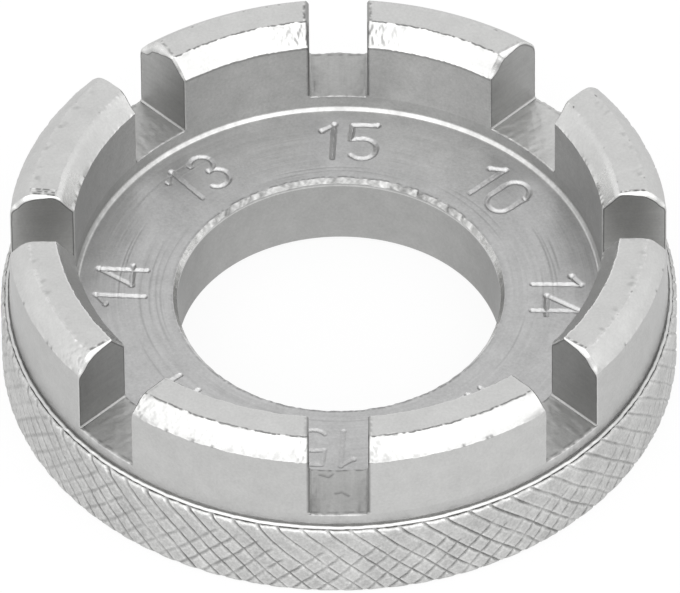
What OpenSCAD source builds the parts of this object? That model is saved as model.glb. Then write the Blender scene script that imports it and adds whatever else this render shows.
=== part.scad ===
// Round spoke wrench: a knurled ring with eight nipple slots between the lugs of a raised crown.
// The real tool is one piece of plated metal. Each node below is one region of that piece,
// and the regions meet face to face.

/* [Rim] */
// Diameter over the knurled pads
rim_d = 38; // [37:0.5:42]
// Height of the knurled rim, from the underside to its flat shoulder
rim_h = 4.9; // [4.5:0.1:6]
// Radial width of the rim's own ring of metal
band_w = 2; // [1.5:0.1:2.4]
// How far the lower ends of the knurled pads are rounded in
rim_toe_drop = 0.2; // [0.1:0.05:0.3]
// How far the upper ends of the knurled pads are rounded in
rim_lip_drop = 0.06; // [0.02:0.02:0.12]

/* [Knurling] */
// Spacing round the rim of the grooves that run one way
knurl_pitch = 1.36; // [1.2:0.02:2.4]
// Depth of the grooves
knurl_depth = 0.24; // [0.16:0.02:0.36]
// Width of a groove at the surface
knurl_groove_w = 0.28; // [0.2:0.02:0.4]

/* [Crown] */
// Width of the flat shoulder between the rim and the crown's outer wall
shoulder_w = 0.5; // [0.4:0.05:0.8]
// Height of the slot floors above the shoulder
floor_step = 0.75; // [0.5:0.05:1.2]
// Radial thickness of the lugs
lug_w = 3.6; // [3:0.1:4]
// Height of the lugs above the slot floors
lug_h = 5.05; // [4:0.05:6.5]
// Width of the straight chamfer on the lugs' inner edge
inner_chamfer_w = 0.97; // [0.5:0.01:1.1]
// Height of the straight chamfer on the lugs' inner edge
inner_chamfer_h = 1.15; // [0.6:0.05:1.6]
// Width of the rounded chamfer on the lugs' outer edge
outer_chamfer_w = 1.03; // [0.5:0.01:1.2]
// Height of the rounded chamfer on the lugs' outer edge
outer_chamfer_h = 1.05; // [0.6:0.05:1.6]
// How far the outer chamfer bulges from a straight line
outer_bulge = 0.1; // [0.04:0.02:0.2]

/* [Slots] */
// Width across the slot for 10 gauge nipples
slot_10_w = 5.05; // [4.9:0.05:5.3]
// Width across the slot for 11 gauge nipples
slot_11_w = 4.15; // [4.05:0.05:4.5]
// Width across the slot for 12 gauge nipples
slot_12_w = 4; // [3.85:0.05:4.3]
// Width across the slot for 13 gauge nipples
slot_13_w = 3.75; // [3.65:0.05:3.9]
// Width across the two slots for 14 gauge nipples
slot_14_w = 3.45; // [3.35:0.05:3.6]
// Width across the two slots for 15 gauge nipples
slot_15_w = 3.3; // [3.2:0.05:3.35]
// How far the 13 slot is cut off its even place, towards the 15 slot beside it
slot_13_shift = 0.6; // [0:0.05:0.8]

/* [Gauge face] */
// Depth of the gauge face below the slot floors
face_drop = 1; // [0.6:0.05:1.5]
// Radius of the hollow fillet between the gauge face and the crown's inner wall
face_fillet = 0.26; // [0.15:0.01:0.4]
// Radial width of the gauge face, from the crown's inner wall to the through hole
face_w = 5.8; // [5.5:0.1:6.5]
// Width of the bevel round the top of the hole
hole_bevel_w = 0.25; // [0.15:0.05:0.4]
// Height of the bevel round the top of the hole
hole_bevel_h = 0.45; // [0.2:0.05:0.8]
// Size of the small bevel round the bottom of the hole
hole_toe_bevel = 0.2; // [0.1:0.05:0.4]

/* [Numbers] */
// Height of the engraved gauge numbers
number_h = 3.3; // [2.4:0.1:3.5]
// Gap between the crown's inner wall and the tops of the numbers
number_gap = 1.05; // [0.9:0.05:1.3]
// Width of the numbers' strokes
number_stroke = 0.42; // [0.3:0.02:0.5]
// Depth of the numbers' strokes
number_depth = 0.22; // [0.1:0.02:0.4]

/* [Hidden] */
$fn = 96;

// Overrun of every cut past the surface that it leaves by
over = 0.5;

// Satin plating, a little darker on the turned faces than on the lugs
plate_bright = [0.80, 0.80, 0.79];
plate_satin = [0.72, 0.72, 0.71];
plate_knurled = [0.66, 0.66, 0.65];

rim_r = rim_d / 2;
band_r = rim_r - band_w;
crown_r = rim_r - shoulder_w;
wall_r = crown_r - lug_w;
face_r = wall_r - face_fillet;
hole_r = wall_r - face_w;

floor_z = rim_h + floor_step;
face_z = floor_z - face_drop;
top_z = floor_z + lug_h;

// Gauge of each slot, its width and its shift, clockwise from +Y as seen from above
GAUGES = [15, 10, 14, 12, 15, 11, 14, 13];
SLOT_WIDTHS = [
    slot_15_w, slot_10_w, slot_14_w, slot_12_w,
    slot_15_w, slot_11_w, slot_14_w, slot_13_w,
];
SLOT_SHIFTS = [0, 0, 0, 0, 0, 0, 0, slot_13_shift];
// How many degrees clockwise of its slot each number is engraved
NUMBER_LEADS = [3.3, 3, 2, 3.3, 4.6, 3.3, 4.8, 4.9];
slot_count = len(GAUGES);
slot_step = 360 / slot_count;
first_slot = 90;

function slot_angle(k) = first_slot - slot_step * k;

// Points of an arc round centre c with radius r, from angle a0 to a1
function arc(c, r, a0, a1, steps) =
    [for (i = [0:steps]) c + r * [cos(a0 + (a1 - a0) * i / steps), sin(a0 + (a1 - a0) * i / steps)]];

// Points from p to q along a shallow bow that stands off the straight line by rise, to its right
function bow(p, q, rise, steps) =
    let (d = q - p, n = [d.y, -d.x] / norm(d))
    [for (i = [0:steps]) p + d * i / steps + n * rise * sin(180 * i / steps)];

// Knurled rim
// The grooves cross at 45 degrees. Columns and rows of the lattice are half a pitch apart:
// where column plus row is even two grooves cross, and where it is odd a flat pad has its middle.
knurl_n = round(PI * rim_d / knurl_pitch);
columns = 2 * knurl_n;
rows = max(2, round(2 * rim_h / knurl_pitch));
half_pitch = PI * rim_d / columns;
pad_share = 1 - knurl_groove_w / (sqrt(2) * half_pitch);
groove_r = rim_r - knurl_depth;
// The ring's inner flats touch the true cylinder that they surround
bore_r = band_r / cos(360 / columns);

function on_rim(r, column, row) =
    let (a = column * 360 / columns)
    [r * cos(a), r * sin(a), rim_h * row / rows];
function pad_r(row) =
    rim_r - (row <= 0 ? rim_toe_drop : 0) - (row >= rows ? rim_lip_drop : 0);

// Each column and row has a block of four points: a pad's left, right, upper and lower corners,
// or four times the same crossing, so that a face finds every point by its place
block = 4;
left = 0;
right = 1;
upper = 2;
lower = 3;
function knurl_points() = concat(
    [
        for (row = [0:rows], column = [0:columns - 1])
            let (pad = (column + row) % 2 == 1)
            each (
                pad ? [
                    on_rim(pad_r(row), column - pad_share, row),
                    on_rim(pad_r(row), column + pad_share, row),
                    on_rim(rim_r, column, min(row + pad_share, rows)),
                    on_rim(rim_r, column, max(row - pad_share, 0)),
                ] : [for (i = [1:block]) on_rim(groove_r, column, row)]
            ),
    ],
    [for (row = [0, rows], i = [0:knurl_n - 1]) on_rim(bore_r, 2 * i, row)]
);
function at(column, row, corner = 0) =
    block * (row * columns + (column + columns) % columns) + corner;
function inner(i, top) =
    block * columns * (rows + 1) + (top ? knurl_n : 0) + (i + knurl_n) % knurl_n;

// The upper and lower halves of one pad, each with its top and its two groove walls
function pad_upper(c, r) = [
    [at(c, r, left), at(c, r, upper), at(c, r, right)],
    [at(c - 1, r), at(c, r + 1), at(c, r, upper)],
    [at(c - 1, r), at(c, r, upper), at(c, r, left)],
    [at(c + 1, r), at(c, r, right), at(c, r, upper)],
    [at(c + 1, r), at(c, r, upper), at(c, r + 1)],
];
function pad_lower(c, r) = [
    [at(c, r, left), at(c, r, right), at(c, r, lower)],
    [at(c - 1, r), at(c, r, left), at(c, r, lower)],
    [at(c - 1, r), at(c, r, lower), at(c, r - 1)],
    [at(c + 1, r), at(c, r - 1), at(c, r, lower)],
    [at(c + 1, r), at(c, r, lower), at(c, r, right)],
];

// One two-column stretch of the flat ring at the rim's top or bottom, seen from outside the metal
function ring_face(c, i0, i1, r, top) =
    let (
        tris = [
            [at(c - 1, r), at(c, r, left), inner(i0, top)],
            [at(c, r, left), at(c, r, right), inner(i0, top)],
            [at(c, r, right), inner(i1, top), inner(i0, top)],
            [at(c, r, right), at(c + 1, r), inner(i1, top)],
        ]
    )
    [for (t = tris) top ? [t[0], t[2], t[1]] : t];

// The ring's inner points stand at even columns; a row of odd crossings meets them half a step round
function ring_faces(r, top) = [
    for (c = [0:columns - 1])
        if ((c + r) % 2 == 1) each ring_face(c, floor(c / 2), floor(c / 2) + 1, r, top),
];

function inner_wall() = [
    for (i = [0:knurl_n - 1])
        each [
            [inner(i, false), inner(i + 1, false), inner(i + 1, true)],
            [inner(i, false), inner(i + 1, true), inner(i, true)],
        ],
];

function knurl_faces() = concat(
    [
        for (r = [0:rows], c = [0:columns - 1])
            if ((c + r) % 2 == 1)
                each concat(r < rows ? pad_upper(c, r) : [], r > 0 ? pad_lower(c, r) : []),
    ],
    ring_faces(0, false),
    ring_faces(rows, true),
    inner_wall()
);

module knurled_rim() {
    color(plate_knurled) polyhedron(knurl_points(), knurl_faces());
}

// Crown base: the ring under the lugs, whose top is the slots' floors
module crown_base() {
    fillet_steps = 6;
    fillet = arc([face_r, face_z + face_fillet], face_fillet, 0, -90, fillet_steps);
    color(plate_satin) rotate_extrude() polygon(concat(
        [[face_r, 0], [band_r, 0], [band_r, rim_h], [crown_r, rim_h]],
        [[crown_r, floor_z], [wall_r, floor_z]],
        fillet
    ));
}

// Gauge ring: the recessed face with the engraved numbers, and the through hole
module gauge_ring() {
    color(plate_satin) difference() {
        rotate_extrude() polygon([
            [hole_r, hole_toe_bevel],
            [hole_r + hole_toe_bevel, 0],
            [face_r, 0],
            [face_r, face_z],
            [hole_r + hole_bevel_w, face_z],
            [hole_r, face_z - hole_bevel_h],
        ]);
        for (k = [0:slot_count - 1]) number_cut(k);
    }
}

// Lugs: what the slots leave of the raised crown
module lug(k) {
    bow_steps = 6;
    outer_edge = bow(
        [crown_r, top_z - outer_chamfer_h],
        [crown_r - outer_chamfer_w, top_z],
        outer_bulge,
        bow_steps
    );
    color(plate_bright) difference() {
        rotate([0, 0, slot_angle(k + 1)]) rotate_extrude(angle = slot_step) polygon(concat(
            [[wall_r, floor_z], [crown_r, floor_z]],
            outer_edge,
            [[wall_r + inner_chamfer_w, top_z], [wall_r, top_z - inner_chamfer_h]]
        ));
        slot_cut(k);
        slot_cut((k + 1) % slot_count);
    }
}

module slot_cut(k) {
    rotate([0, 0, slot_angle(k)])
        translate([hole_r, -SLOT_WIDTHS[k] / 2 - SLOT_SHIFTS[k], floor_z - over])
            cube([rim_r, SLOT_WIDTHS[k], lug_h + 2 * over]);
}

// Numbers, drawn as strokes: paths in shares of the height between their outermost stroke middles
digit_w_share = 0.57;
flag_share = 0.25;
digit_gap_share = 0.33;
bowl_share = digit_w_share / 2;
curve_steps = 10;
path_h = number_h - number_stroke;

function stroke_shares(d) =
    let (w = digit_w_share, r = bowl_share)
    d == 0 ? [concat(arc([r, 1 - r], r, 0, 180, curve_steps), arc([r, r], r, 180, 360, curve_steps))] :
    d == 1 ? [[[0, 0.8], [flag_share, 1]], [[flag_share, 1], [flag_share, 0]]] :
    d == 2 ? [concat(arc([r, 1 - r], r, 170, -40, curve_steps), [[0, 0]]), [[0, 0], [w, 0]]] :
    d == 3 ? [arc([r, 0.76], 0.24, 150, -90, curve_steps), arc([r, 0.26], 0.26, 90, -150, curve_steps)] :
    d == 4 ? [[[0.44, 1], [0, 0.3]], [[0, 0.3], [w, 0.3]], [[0.44, 1], [0.44, 0]]] :
    [concat([[w, 1], [0.06, 1], [0.03, 0.57]], arc([0.28, 0.3], 0.3, 105, -140, curve_steps))];

function unit(p, q) = (q - p) / norm(q - p);
// Where the edge of a stroke along path p passes its point i, at distance side to the left
function edge_point(p, i, side, closed) =
    let (
        n = len(p),
        inside = closed || (i > 0 && i < n - 1),
        before = inside || i > 0 ? unit(p[(i + n - 1) % n], p[i]) : unit(p[0], p[1]),
        after = inside || i == 0 ? unit(p[i], p[(i + 1) % n]) : before,
        middle = unit([0, 0], before + after)
    )
    p[i] + side * [-middle.y, middle.x] / (middle * before);
function edge(p, side, closed) = [for (i = [0:len(p) - 1]) edge_point(p, i, side, closed)];
function backwards(p) = [for (i = [len(p) - 1:-1:0]) p[i]];

module stroke(path, closed) {
    left_edge = edge(path, number_stroke / 2, closed);
    right_edge = edge(path, -number_stroke / 2, closed);
    if (closed)
        difference() {
            polygon(right_edge);
            polygon(left_edge);
        }
    else
        polygon(concat(left_edge, backwards(right_edge)));
}

module digit_cut(d) {
    for (path = path_h * stroke_shares(d)) linear_extrude(number_depth + over) stroke(path, d == 0);
}

function digit_width(d) = path_h * (d == 1 ? flag_share : digit_w_share);

module number_cut(k) {
    tens = floor(GAUGES[k] / 10);
    ones = GAUGES[k] % 10;
    ones_x = digit_width(tens) + path_h * digit_gap_share;
    bottom_r = wall_r - number_gap - number_stroke / 2 - path_h;
    rotate([0, 0, slot_angle(k) - NUMBER_LEADS[k] - first_slot])
        translate([-(ones_x + digit_width(ones)) / 2, bottom_r, face_z - number_depth]) {
            digit_cut(tens);
            translate([ones_x, 0, 0]) digit_cut(ones);
        }
}

knurled_rim();
crown_base();
gauge_ring();
lug(0);  // lug_15_10
lug(1);  // lug_10_14
lug(2);  // lug_14_12
lug(3);  // lug_12_15
lug(4);  // lug_15_11
lug(5);  // lug_11_14
lug(6);  // lug_14_13
lug(7);  // lug_13_15
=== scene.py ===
"""Round spoke wrench in satin nickel plate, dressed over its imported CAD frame.

Shapes are worked out in millimetres and turned to metres where a mesh is made. The ring's axis is
the Z axis, and the slots stand clockwise from +Y as seen from above.
"""
from math import cos, hypot, pi, radians, sin, sqrt

import bpy
import numpy as np
from mathutils import Matrix, Vector


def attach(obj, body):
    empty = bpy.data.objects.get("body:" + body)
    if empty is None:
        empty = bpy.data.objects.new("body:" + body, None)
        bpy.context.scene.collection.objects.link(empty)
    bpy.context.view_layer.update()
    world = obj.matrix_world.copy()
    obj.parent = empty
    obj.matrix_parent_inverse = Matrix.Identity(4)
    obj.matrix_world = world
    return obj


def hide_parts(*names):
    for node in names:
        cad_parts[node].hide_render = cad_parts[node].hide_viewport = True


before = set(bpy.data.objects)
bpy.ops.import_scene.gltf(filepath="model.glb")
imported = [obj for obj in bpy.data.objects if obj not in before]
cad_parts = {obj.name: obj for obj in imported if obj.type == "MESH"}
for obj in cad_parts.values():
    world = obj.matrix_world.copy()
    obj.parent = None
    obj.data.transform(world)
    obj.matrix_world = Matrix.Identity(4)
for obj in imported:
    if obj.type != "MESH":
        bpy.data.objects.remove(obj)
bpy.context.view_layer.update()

MM = 0.001
TURN = 2 * pi

# The ring's sizes, as in its CAD nodes
RIM_R, RIM_H, BAND_R = 19.0, 4.9, 17.0
CROWN_R, WALL_R, FACE_R, HOLE_R = 18.5, 14.9, 14.64, 9.1
FLOOR_Z, FACE_Z, TOP_Z = 5.65, 4.65, 10.7
MIDDLE_R = (CROWN_R + WALL_R) / 2

# Each slot's gauge, its width, how far it is cut clockwise of its even place,
# and how many degrees clockwise of the slot its number is engraved
SLOTS = [
    (15, 3.3, 0.0, 2.7), (10, 5.05, 0.0, 2.5), (14, 3.45, 0.0, 1.2), (12, 4.0, 0.0, 3.3),
    (15, 3.3, 0.0, 3.3), (11, 4.15, 0.0, 3.3), (14, 3.45, 0.0, 3.8), (13, 3.75, 0.6, 4.8),
]
WIDTHS, SHIFTS, LEADS = (np.array([slot[i] for slot in SLOTS]) for i in (1, 2, 3))
LUGS = ["lug_15_10", "lug_10_14", "lug_14_12", "lug_12_15",
        "lug_15_11", "lug_11_14", "lug_14_13", "lug_13_15"]


def slot_angle(k):
    """The direction of slot k, in radians anticlockwise from +X."""
    return pi / 2 - k * TURN / 8


# Materials


def linear(hex_colour):
    """An sRGB hex colour as linear red, green, blue and full alpha."""
    s = np.array([int(hex_colour[i:i + 2], 16) for i in (1, 3, 5)]) / 255
    low, high = s / 12.92, ((s + 0.055) / 1.055) ** 2.4
    return (*np.where(s <= 0.04045, low, high).tolist(), 1.0)


def add(tree, kind, inputs=None, output=0, **settings):
    """Adds a node and returns that output of it, if it has any.

    Settings are its properties; inputs are values, or the sockets that feed them.
    """
    made = tree.nodes.new("ShaderNode" + kind)
    for name, value in settings.items():
        setattr(made, name, value)
    for name, value in (inputs or {}).items():
        if isinstance(value, bpy.types.NodeSocket):
            tree.links.new(value, made.inputs[name])
        else:
            made.inputs[name].default_value = value
    return made.outputs[output] if made.outputs else None


def per_metre(size_mm):
    """The texture scale at which one noise cell measures size_mm."""
    return 1 / (size_mm * MM)


# Seen almost along its surface, satin nickel reflects less than a polished metal does
GRAZING = 0.8
# The size of the cloudy patches in the plate's grey, and of the specks between them, in mm
CLOUD_MM, SPECK_MM = 1.6, 0.17


def plated(name, colour, roughness, pattern, relief_um, mottle=0.07, tone=0.03):
    """Nickel plate over steel: a metal whose grey drifts a little from place to place.

    pattern(tree, place) returns the socket of a height between 0 and 1, whose full span is
    relief_um micrometres; the metal is duller by tone and rougher where it is low. The piece's
    recess holds painted shade and painted highlights along with some real marks: 1 at the bottom
    of a groove, 0 on the open surface and less than 0 where a highlight is painted on. Above 0 it
    darkens and roughens the metal, below 0 it brightens and smooths it.
    """
    material = bpy.data.materials.new(name)
    material.use_nodes = True
    tree = material.node_tree
    shader = tree.nodes["Principled BSDF"]
    shader.inputs["Metallic"].default_value = 1.0
    shader.inputs["Specular Tint"].default_value = (GRAZING, GRAZING, GRAZING, 1.0)
    place = add(tree, "TexCoord", output="Object")
    recess = add(tree, "Attribute", output="Fac", attribute_name="recess")
    height = pattern(tree, place)
    cloud = add(tree, "TexNoise", {"Vector": place, "Scale": per_metre(CLOUD_MM), "Detail": 2.0})
    speck = add(tree, "TexNoise",
                {"Vector": place, "Scale": per_metre(SPECK_MM), "Detail": 2.0, "Roughness": 0.7})
    both = add(tree, "Mix", {"Factor": 0.62, "A": cloud, "B": speck})
    shade = add(tree, "MapRange", {"Value": both, "From Min": 0.32, "From Max": 0.68,
                                   "To Min": 1 - mottle, "To Max": 1 + mottle})
    cut = add(tree, "MapRange", {"Value": height, "From Min": 0.3, "From Max": 0.7,
                                 "To Min": 1 - tone, "To Max": 1 + tone})
    # Painted shade where the recess is above 0, painted highlight where it is below
    painted_light_and_dirt = add(tree, "MapRange", {"Value": recess, "To Min": 1.0, "To Max": 0.3}, clamp=False)
    for factor in (cut, painted_light_and_dirt):
        shade = add(tree, "Math", {0: shade, 1: factor}, operation="MULTIPLY")
    tint = add(tree, "VectorMath", {0: linear(colour)[:3], "Scale": shade}, operation="SCALE")
    tree.links.new(tint, shader.inputs["Base Color"])
    rough = add(tree, "MapRange",
                {"Value": height, "To Min": roughness + 0.1, "To Max": roughness - 0.04})
    rough = add(tree, "Math", {0: recess, 1: 0.2, 2: rough}, operation="MULTIPLY_ADD")
    tree.links.new(rough, shader.inputs["Roughness"])
    bump = add(tree, "Bump", {"Height": height, "Distance": relief_um * 1e-6})
    tree.links.new(bump, shader.inputs["Normal"])
    return material


def cast_grain(tree, place):
    """Fine even grain of a plated blank, with a few larger shallow dents."""
    grain = add(tree, "TexNoise", {"Vector": place, "Scale": per_metre(0.14), "Detail": 3.0})
    dents = add(tree, "TexNoise", {"Vector": place, "Scale": per_metre(0.8), "Detail": 2.0})
    return add(tree, "Mix", {"Factor": 0.35, "A": grain, "B": dents})


def turned_rings(tree, place):
    """Rings left by a lathe tool: noise that changes fast along the radius and slowly round it.

    The rings come and go in patches a few millimetres wide, where the face was rubbed later.
    """
    parts = add(tree, "SeparateXYZ", {"Vector": place}).node.outputs
    flat = add(tree, "CombineXYZ", {"X": parts["X"], "Y": parts["Y"]})
    radius = add(tree, "VectorMath", {0: flat}, "Value", operation="LENGTH")
    fast = add(tree, "Math", {0: radius, 1: per_metre(0.24)}, operation="MULTIPLY")
    slow = add(tree, "VectorMath", {0: flat, "Scale": per_metre(9.0)}, operation="SCALE")
    slow = add(tree, "SeparateXYZ", {"Vector": slow}).node.outputs
    spiral = add(tree, "CombineXYZ", {"X": fast, "Y": slow["X"], "Z": slow["Y"]})
    rings = add(tree, "TexNoise",
                {"Vector": spiral, "Scale": 1.0, "Detail": 2.0, "Roughness": 0.65})
    patch = add(tree, "TexNoise", {"Vector": place, "Scale": per_metre(4.5), "Detail": 1.0})
    share = add(tree, "MapRange", {"Value": patch, "From Min": 0.38, "From Max": 0.62,
                                   "To Min": 0.15, "To Max": 0.95})
    return add(tree, "Mix", {"Factor": share, "A": cast_grain(tree, place), "B": rings})


def cutter_streaks(tree, place):
    """Streaks along a slot from its cutter, on the slot_place that slot_frame works out."""
    own = add(tree, "Attribute", output="Vector", attribute_name="slot_place")
    drawn_out = add(tree, "VectorMath", {0: own, 1: (0.25, 4.0, 4.0)}, operation="MULTIPLY")
    streaks = add(tree, "TexNoise", {"Vector": drawn_out, "Scale": 1.0, "Detail": 3.0})
    return add(tree, "Mix", {"Factor": 0.5, "A": streaks, "B": cast_grain(tree, place)})


# The lugs' tops and chamfers: satin nickel over a buffed blank, an even pale grey
satin = plated("satin_nickel", "#cbcbca", 0.28, cast_grain, 9)
# The crown's outer wall: nickel over drawn metal, a little rougher than the tops, and its grey
# painted darker than theirs as painted shade
drawn_and_shaded = plated("drawn_nickel_painted_shade", "#c2c2c1", 0.32, cast_grain, 12)
# The crown's bore: nickel over a bored wall, rougher than the outside, and its grey painted
# darker as painted shade
bored = plated("bored_nickel", "#b2b2b1", 0.38, cast_grain, 14, mottle=0.11)
# The slots' walls and floors: nickel over milled steel, streaked along the cut, and its grey
# painted darker than the tops as painted shade
milled = plated("milled_nickel", "#b2b2b1", 0.42, cutter_streaks, 20, tone=0.07)
# The gauge face and underside: nickel over a turned face, with the tool's rings, and its grey
# painted darker than the tops as painted shade
turned = plated("turned_nickel", "#bababa", 0.34, turned_rings, 18, mottle=0.10, tone=0.08)
# The knurled band: nickel over pressed metal, with rough spots on the pads
knurled = plated("knurled_nickel", "#c6c6c5", 0.40, cast_grain, 34, mottle=0.20)
# The hole: nickel over a drilled and reamed wall, its grey painted the darkest of all as
# painted shade
reamed = plated("reamed_nickel", "#a6a6a5", 0.40, cast_grain, 8)


# Meshes

# Corners between faces that turn by more than this many degrees stay sharp
SHARP_DEGREES = 22
# Pieces stop this far short of their neighbour's wall, so that no two faces lie in one place
CLEAR = 0.002
# How many sine waves a ripple is made of
WAVES = 28
# How many degrees apart the columns of the crown's base and of the gauge face stand: beside the
# slots or numbers, and elsewhere
BASE_COLUMNS, FACE_COLUMNS = (0.24, 0.5), (0.235, 1.2)
# The angles of the columns of a piece that is equally fine all round
EVEN = np.arange(1440)[None, :] * TURN / 1440


def placed(name, data):
    """A new object of the scene, with the given mesh, lamp or camera."""
    made = bpy.data.objects.new(name, data)
    bpy.context.scene.collection.objects.link(made)
    return made


def grid_faces(rows, columns, wrap_rows):
    """Corner numbers of the quads between a grid's rows, each row closed on itself."""
    i = np.arange(rows if wrap_rows else rows - 1)[:, None]
    j = np.arange(columns)[None, :]
    down, right = (i + 1) % rows, (j + 1) % columns
    quads = np.stack([i * columns + j + 0 * right, i * columns + right, down * columns + right,
                      down * columns + j], -1)
    return quads.reshape(-1, 4)


def make_piece(name, points, quads, fans, finishes, finish_of, nodes, slot,
               place=None, recess=None):
    """A mesh object from numpy points in mm, its quads and its fans of triangles.

    finish_of has one number a face, quads first. The faces are turned to point outwards, which is
    where the signed volume of the shape is positive. place and recess are read by the materials.
    """
    first = points[quads[:, 0]]
    volume = sum(np.einsum("ij,ij->", first, np.cross(points[quads[:, a]], points[quads[:, a + 1]]))
                 for a in (1, 2))
    if volume < 0:
        quads, fans = quads[:, ::-1], fans[:, ::-1]
    mesh = bpy.data.meshes.new(name)
    mesh.vertices.add(len(points))
    mesh.vertices.foreach_set("co", (points * MM).astype(np.float32).ravel())
    corners = np.concatenate([quads.ravel(), fans.ravel()]).astype(np.int32)
    starts = np.concatenate([np.arange(len(quads)) * 4, len(quads) * 4 + np.arange(len(fans)) * 3])
    mesh.loops.add(len(corners))
    mesh.loops.foreach_set("vertex_index", corners)
    mesh.polygons.add(len(starts))
    mesh.polygons.foreach_set("loop_start", starts.astype(np.int32))
    mesh.polygons.foreach_set("material_index", finish_of.astype(np.int32))
    for finish in finishes:
        mesh.materials.append(finish)
    mesh.update(calc_edges=True)
    mesh.validate()
    mesh.polygons.foreach_set("use_smooth", np.ones(len(starts), bool))
    mesh.set_sharp_from_angle(angle=radians(SHARP_DEGREES))
    if place is not None:
        own = mesh.attributes.new("slot_place", "FLOAT_VECTOR", "POINT")
        own.data.foreach_set("vector", place.astype(np.float32).ravel())
    if recess is not None:
        low = mesh.attributes.new("recess", "FLOAT", "POINT")
        low.data.foreach_set("value", np.clip(recess, -0.5, 1).astype(np.float32).ravel())
    piece = placed(name, mesh)
    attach(piece, "root")
    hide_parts(*nodes)


def ring_points(r, z, angle):
    """Points at radius r, height z and the given angles, all of one shape."""
    return np.stack([r * np.cos(angle), r * np.sin(angle), z + 0 * angle], -1)


def ring_piece(name, r, z, angle, finishes, finish_of_row, node, slot, place=None, recess=None):
    """A piece turned round the axis: each row is a point of a closed outline, each column an angle.

    finish_of_row says which of the finishes the faces between a row and the next one have.
    """
    rows, columns = r.shape
    make_piece(name, ring_points(r, z, angle).reshape(-1, 3), grid_faces(rows, columns, True),
               np.zeros((0, 3), int), finishes, np.repeat(finish_of_row, columns), [node], slot,
               place, recess)


def pairs(x, y):
    """Points from two arrays, either of which may be a single number."""
    return np.stack(np.broadcast_arrays(x, y), -1)


def stepped(corners, spacing):
    """A closed outline through the corners, its sides cut into even steps of about spacing."""
    loop = np.asarray(corners, float)
    ahead = np.roll(loop, -1, 0)
    counts = np.maximum(1, np.round(np.linalg.norm(ahead - loop, axis=1) / spacing).astype(int))
    share = np.concatenate([np.arange(n) / n for n in counts])[:, None]
    return np.repeat(loop, counts, 0) * (1 - share) + np.repeat(ahead, counts, 0) * share


def bow(p, q, rise, steps):
    """Points inside a shallow bow from p to q that stands rise off the line, on its right."""
    p, q = np.asarray(p, float), np.asarray(q, float)
    s = (np.arange(1, steps) / steps)[:, None]
    right = np.array([(q - p)[1], -(q - p)[0]]) / np.linalg.norm(q - p)
    return p + (q - p) * s + right * rise * np.sin(pi * s)


def ripple(angle, height, finest, seed, coarsest=12.0):
    """Smooth unevenness of about unit size: a sum of sine waves with seeded phases.

    Each wave runs a whole number of times round the ring, so it meets itself; wavelengths lie
    between coarsest and finest, in mm at the crown.
    """
    draw = np.random.default_rng(seed)
    lengths = np.geomspace(coarsest, finest, WAVES)
    heading = draw.uniform(-1, 1, WAVES)
    round_ring = np.round(TURN * CROWN_R / lengths * np.cos(heading))
    up = TURN / lengths * np.sin(heading)
    phase = draw.uniform(0, TURN, WAVES)
    total = 0.0
    for k, m, p in zip(round_ring, up, phase):
        total = total + np.sin(k * angle + m * height + p)
    return total / sqrt(WAVES / 2)


def smooth_step(x, low, high):
    """0 below low, 1 above high, and a smooth rise between."""
    t = np.clip((x - low) / (high - low), 0, 1)
    return t * t * (3 - 2 * t)


def toward(cosine, outer, inner):
    """1 where the cosine is that of less than inner degrees, 0 past outer, and smooth between."""
    return smooth_step(cosine, cos(radians(outer)), cos(radians(inner)))


def dip(away, half_width):
    """1 in the middle of a narrow V, 0 from half_width on."""
    return np.clip(1 - np.abs(away) / half_width, 0, 1)


def bell(away, width):
    """1 where away is 0, and fading to both sides: a Gaussian curve of the given width."""
    return np.exp(-(away / width) ** 2)


# How far apart the slots' frames stand in height, so that no two slots have the same streaks
FRAMES_APART = 9.0


def slot_frame(angle, r, z):
    """The slot nearest to each point, and the point in that slot's frame: mm along, across, up."""
    k = np.round((pi / 2 - angle) / (TURN / 8)).astype(int) % 8
    off = angle - slot_angle(k)
    across = r * np.sin(off) + SHIFTS[k]
    return k, np.stack([r * np.cos(off), across, z + FRAMES_APART * k], -1)


# The knurled rim

# The knurled wall is a ring of its own round a plain core, whose upper edge is the bright bead
# beside the crown. There are this many grooves of each family round it
KNURLS = 88
PITCH = TURN * RIM_R / KNURLS
# Half the width of the falling and of the rising grooves, and how deep they are pressed
FALLING_HALF, RISING_HALF, GROOVE_DEPTH = 0.12, 0.14, 0.095
# Where the knurled wall meets its core, and the radius that no groove goes below
SEAM_R, GROOVE_R = 18.2, 18.72
# How far the grooves wander, how rough the pads are and how much their tops are worn, in mm
KNURL_WANDER, PAD_ROUGH, PAD_WORN = 0.05, 0.014, 0.03
# How high the rising grooves reach, and how much higher on the far left
RISING_H, HIGHER_LEFT = 3.5, 1.3
# The direction of the ring's front in radians, and of its left and far left in degrees
FRONT, LEFT, FAR_LEFT = 1.5 * pi, 205, 168
# How far the bead beside the crown wanders in and out, and how far it dips, in mm
BEAD_WANDER, BEAD_DIP = 0.012, 0.008


def groove(away, half_width):
    """1 in the middle of a groove, 0 on the pads, with a rounded lip and bottom; away is in mm."""
    return 0.5 + 0.5 * np.cos(pi * np.clip(np.abs(away) / half_width, 0, 1))


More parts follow.
